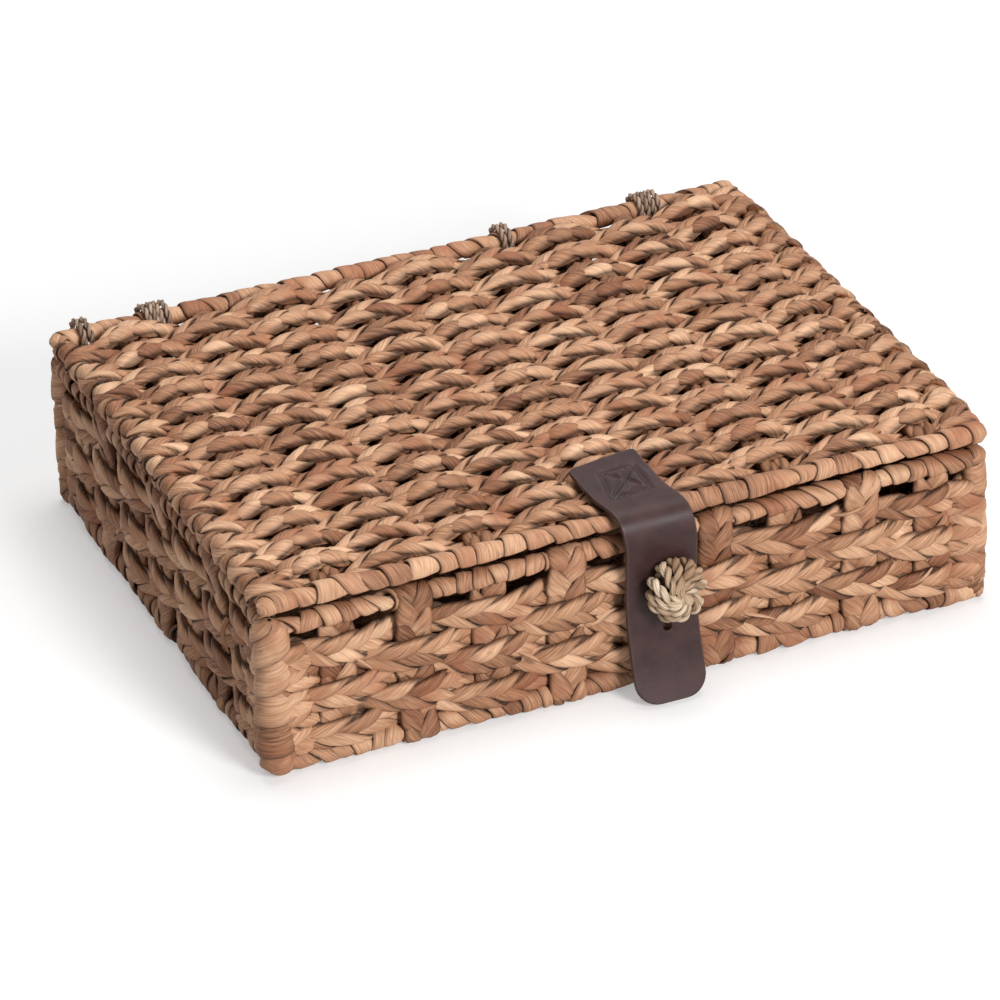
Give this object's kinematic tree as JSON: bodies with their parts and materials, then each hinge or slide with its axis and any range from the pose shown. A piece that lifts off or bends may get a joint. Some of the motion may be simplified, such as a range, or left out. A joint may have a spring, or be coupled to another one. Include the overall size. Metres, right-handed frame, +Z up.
{
  "type": "woven lidded box",
  "caption": "Shallow rectangular woven box with a flat hinged lid, closed by a leather strap over a knotted twine button.",
  "frame": {"origin": "on the ground under the middle of the part's bounding box", "axes": "+X along the long side, -Y out of the front with the strap, +Z up"},
  "size_m": [0.3902, 0.3312, 0.1066],
  "materials": {
    "leaf_plait": "dry plaited leaf, matt",
    "leaf_stake": "dry plaited leaf, matt",
    "leaf_wrap": "dry leaf wound in overlapping bands",
    "leaf_cord": "dry twisted leaf cord",
    "tie_twine": "thin straw twine",
    "button_twine": "pale straw twine",
    "strap_leather": "smooth, soft satin sheen",
    "strap_thread": "waxed dark thread",
    "frame_wire": "plain drawn wire"
  },
  "bodies": {
    "box": {"box_frame": "frame_wire", "floor_mat": "leaf_plait", "front_plait_1": "leaf_plait", "front_plait_2": "leaf_plait", "front_plait_3": "leaf_plait", "front_wall_stakes": "leaf_stake", "front_rim_wrap": "leaf_wrap", "right_plait_1": "leaf_plait", "right_plait_2": "leaf_plait", "right_plait_3": "leaf_plait", "right_wall_stakes": "leaf_stake", "right_rim_wrap": "leaf_wrap", "back_plait_1": "leaf_plait", "back_plait_2": "leaf_plait", "back_plait_3": "leaf_plait", "back_wall_stakes": "leaf_stake", "back_rim_wrap": "leaf_wrap", "left_plait_1": "leaf_plait", "left_plait_2": "leaf_plait", "left_plait_3": "leaf_plait", "left_wall_stakes": "leaf_stake", "left_rim_wrap": "leaf_wrap", "hinge_tie_left": "tie_twine", "hinge_tie_right": "tie_twine", "hinge_tie_middle": "tie_twine", "hinge_tie_corner": "tie_twine"},
    "lid": {"lid_frame": "frame_wire", "lid_front_wrap": "leaf_wrap", "lid_back_wrap": "leaf_wrap", "lid_plait_1": "leaf_plait", "lid_plait_2": "leaf_plait", "lid_plait_3": "leaf_plait", "lid_plait_4": "leaf_plait", "lid_plait_5": "leaf_plait", "lid_plait_6": "leaf_plait", "lid_plait_7": "leaf_plait", "lid_plait_8": "leaf_plait", "lid_plait_9": "leaf_plait", "lid_plait_10": "leaf_plait", "lid_plait_11": "leaf_plait", "lid_plait_12": "leaf_plait", "lid_plait_13": "leaf_plait", "lid_stake_1": "leaf_cord", "lid_stake_2": "leaf_cord", "lid_stake_3": "leaf_cord", "lid_stake_4": "leaf_cord", "lid_stake_5": "leaf_cord", "lid_stake_6": "leaf_cord", "lid_stake_7": "leaf_cord", "lid_stake_8": "leaf_cord", "lid_stake_9": "leaf_cord", "strap_tab": "strap_leather", "strap_stitching": "strap_thread"},
    "strap": {"strap_flap": "strap_leather"},
    "button": {"button_knot": "button_twine", "button_shank": "button_twine"}
  },
  "joints": [
    {"name": "lid_hinge", "type": "hinge", "parent": "box", "child": "lid", "pos_m": [0, 0.1556, 0.0958], "axis": [-1, 0, 0], "range_deg": [0, 195]},
    {"name": "strap_lift", "type": "hinge", "parent": "lid", "child": "strap", "pos_m": [0.009, -0.136, 0.1043], "axis": [-1, 0, 0], "range_deg": [0, 110], "deforming": ["strap_flap"]},
    {"name": "button_turn", "type": "hinge", "parent": "box", "child": "button", "pos_m": [0.015, -0.1571, 0.06205], "axis": [0, 1, 0], "range_deg": [-40, 40]}
  ]
}
